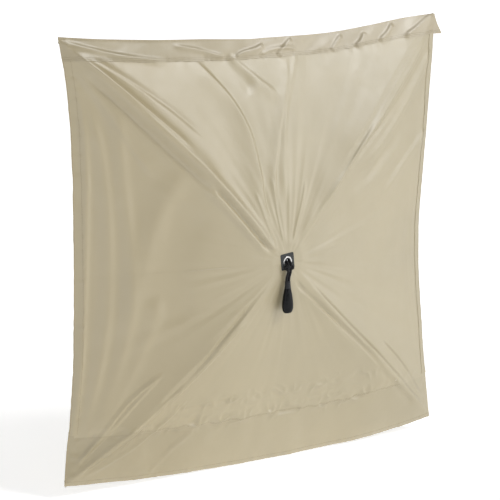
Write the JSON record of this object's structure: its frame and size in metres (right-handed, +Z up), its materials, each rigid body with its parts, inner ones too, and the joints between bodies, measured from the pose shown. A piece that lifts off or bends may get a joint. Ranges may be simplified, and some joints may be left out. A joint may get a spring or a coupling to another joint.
{
  "type": "pop-up ground blind panel",
  "caption": "Square pop-up blind wall of tan cloth, tensioned into a shallow pyramid by a hub and flexible crossed rods, with a cord-and-grip pull at its centre.",
  "frame": {"origin": "on the hub's axis, where the M8 centre bolt leaves its nut behind the hub", "axes": "+Y along the hub's axis towards the hidden side, -Y towards the side that shows, +Z up, +X to the right seen from the front"},
  "size_m": [1.724, 0.2454, 1.645],
  "materials": {
    "cloth": "coated plain-weave polyester taffeta, slight sheen",
    "webbing": "black woven polyester",
    "fibreglass": "pultruded glass-fibre rod, satin black",
    "hub_plastic": "moulded glass-filled nylon, fine texture",
    "fitting_metal": "turned aluminium, satin",
    "steel": "zinc-plated steel",
    "eyelet_metal": "bright nickel plate",
    "cord": "black braided polyester cord",
    "sleeve": "dark grey moulded collar",
    "grip_rubber": "smooth moulded rubber, low gloss"
  },
  "bodies": {
    "hub": {"centre_cloth": "cloth", "centre_eyelet": "eyelet_metal", "centre_patch": "webbing", "eye_bolt": "steel", "eye_bolt_nut": "steel", "eye_bolt_washer": "steel", "eyelet_washer": "eyelet_metal", "hub_back_shell": "hub_plastic", "hub_front_shell": "hub_plastic", "hub_screws": "steel", "pivot_pins": "steel", "pull_loop": "cord"},
    "pull_neck": {"pull_neck": "cord"},
    "pull": {"pull_cord_upper": "cord", "pull_cord_lower": "cord", "pull_knot": "cord", "grip_sleeve": "sleeve", "pull_grip": "grip_rubber"},
    "rod_top_left": {"band_top_left": "cloth", "cloth_top_left": "cloth", "corner_eyelet_top_left": "eyelet_metal", "corner_pocket_top_left": "webbing", "corner_tab_top_left": "webbing", "hub_fitting_top_left": "fitting_metal", "rod_keepers_top_left": "webbing", "rod_top_left": "fibreglass", "side_hem_top_left": "cloth", "tip_cap_top_left": "hub_plastic"},
    "rod_top_right": {"band_top_right": "cloth", "cloth_top_right": "cloth", "corner_eyelet_top_right": "eyelet_metal", "corner_pocket_top_right": "webbing", "corner_tab_top_right": "webbing", "hub_fitting_top_right": "fitting_metal", "rod_keepers_top_right": "webbing", "rod_top_right": "fibreglass", "side_hem_top_right": "cloth", "tip_cap_top_right": "hub_plastic"},
    "rod_bottom_left": {"band_bottom_left": "cloth", "cloth_bottom_left": "cloth", "corner_eyelet_bottom_left": "eyelet_metal", "corner_pocket_bottom_left": "webbing", "corner_tab_bottom_left": "webbing", "hub_fitting_bottom_left": "fitting_metal", "rod_bottom_left": "fibreglass", "rod_keepers_bottom_left": "webbing", "side_hem_bottom_left": "cloth", "tip_cap_bottom_left": "hub_plastic"},
    "rod_bottom_right": {"band_bottom_right": "cloth", "cloth_bottom_right": "cloth", "corner_eyelet_bottom_right": "eyelet_metal", "corner_pocket_bottom_right": "webbing", "corner_tab_bottom_right": "webbing", "hub_fitting_bottom_right": "fitting_metal", "rod_bottom_right": "fibreglass", "rod_keepers_bottom_right": "webbing", "side_hem_bottom_right": "cloth", "tip_cap_bottom_right": "hub_plastic"}
  },
  "joints": [
    {"name": "rod_fold_top_left", "type": "hinge", "parent": "hub", "child": "rod_top_left", "pos_m": [-0.03703, -0.024, 0.03651], "axis": [0.7021, 0, 0.712], "range_deg": [0, 91], "deforming": ["cloth_top_left", "band_top_left", "side_hem_top_left"]},
    {"name": "rod_fold_top_right", "type": "hinge", "parent": "hub", "child": "rod_top_right", "pos_m": [0.03703, -0.024, 0.03651], "axis": [0.7021, 0, -0.712], "range_deg": [0, 91], "deforming": ["cloth_top_right", "band_top_right", "side_hem_top_right"]},
    {"name": "rod_fold_bottom_left", "type": "hinge", "parent": "hub", "child": "rod_bottom_left", "pos_m": [-0.03923, -0.024, -0.03413], "axis": [-0.6564, 0, 0.7544], "range_deg": [0, 91], "deforming": ["cloth_bottom_left", "band_bottom_left", "side_hem_bottom_left"]},
    {"name": "rod_fold_bottom_right", "type": "hinge", "parent": "hub", "child": "rod_bottom_right", "pos_m": [0.03923, -0.024, -0.03413], "axis": [-0.6564, 0, -0.7544], "range_deg": [0, 91], "deforming": ["cloth_bottom_right", "band_bottom_right", "side_hem_bottom_right"]},
    {"name": "pull_sway", "type": "hinge", "parent": "hub", "child": "pull_neck", "pos_m": [0, -0.044, 0], "axis": [0, 1, 0], "range_deg": [-20, 20]},
    {"name": "pull_lift", "type": "hinge", "parent": "pull_neck", "child": "pull", "pos_m": [0, -0.047, -0.0015], "axis": [-1, 0, 0], "range_deg": [0, 90]}
  ],
  "couplings": [
    {"joint": "rod_fold_top_right", "follows": "rod_fold_top_left", "ratio": 1},
    {"joint": "rod_fold_bottom_left", "follows": "rod_fold_top_left", "ratio": 1},
    {"joint": "rod_fold_bottom_right", "follows": "rod_fold_top_left", "ratio": 1}
  ]
}
